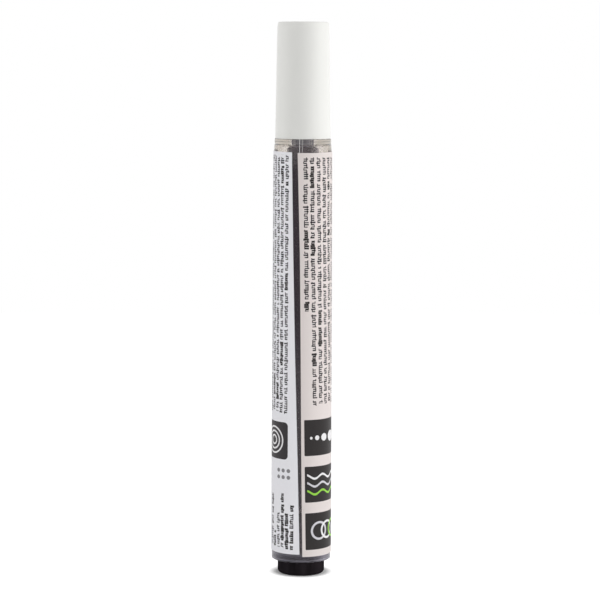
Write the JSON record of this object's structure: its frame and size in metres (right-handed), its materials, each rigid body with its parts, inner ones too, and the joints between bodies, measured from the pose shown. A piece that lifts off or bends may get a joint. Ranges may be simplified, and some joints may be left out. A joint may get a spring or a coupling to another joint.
{
  "type": "watercolour marker",
  "caption": "Refillable felt-tip watercolour marker with a pull-off cap, a clear barrel in printed wrap labels, a fibre ink reservoir and a sprung filler valve at its foot.",
  "frame": {"origin": "middle of the foot face that the marker stands on, on the marker's axis", "axes": "+Z along the marker towards the closed end of the cap; -Y faces the ink window between the labels"},
  "size_m": [0.0152, 0.0152, 0.1385],
  "materials": {
    "cap_shell": "satin",
    "inner_cap": "satin",
    "front_section": "gloss",
    "nib": "matte",
    "barrel": "gloss",
    "left_label": "satin",
    "right_label": "satin",
    "ink_reservoir": "matte",
    "reservoir_wrap": "satin",
    "valve_body": "gloss",
    "valve_stem": "satin",
    "valve_seal": "matte",
    "valve_spring": "satin",
    "valve_cage": "satin"
  },
  "bodies": {
    "marker_body": {"barrel": "barrel", "left_label": "left_label", "right_label": "right_label", "front_section": "front_section", "nib": "nib", "ink_reservoir": "ink_reservoir", "reservoir_wrap": "reservoir_wrap", "valve_body": "valve_body", "valve_spring": "valve_spring", "valve_cage": "valve_cage"},
    "cap": {"cap_shell": "cap_shell", "inner_cap": "inner_cap"},
    "valve_core": {"valve_stem": "valve_stem", "valve_seal": "valve_seal"}
  },
  "joints": [
    {"name": "cap_pull", "type": "slide", "parent": "marker_body", "child": "cap", "axis": [0, 0, 1], "range_m": [0, 0.034]},
    {"name": "valve_push", "type": "slide", "parent": "marker_body", "child": "valve_core", "axis": [0, 0, 1], "range_m": [0, 0.0015], "stiffness_N_per_m": 300, "springref_m": -0.002, "deforming": ["valve_spring"]}
  ]
}
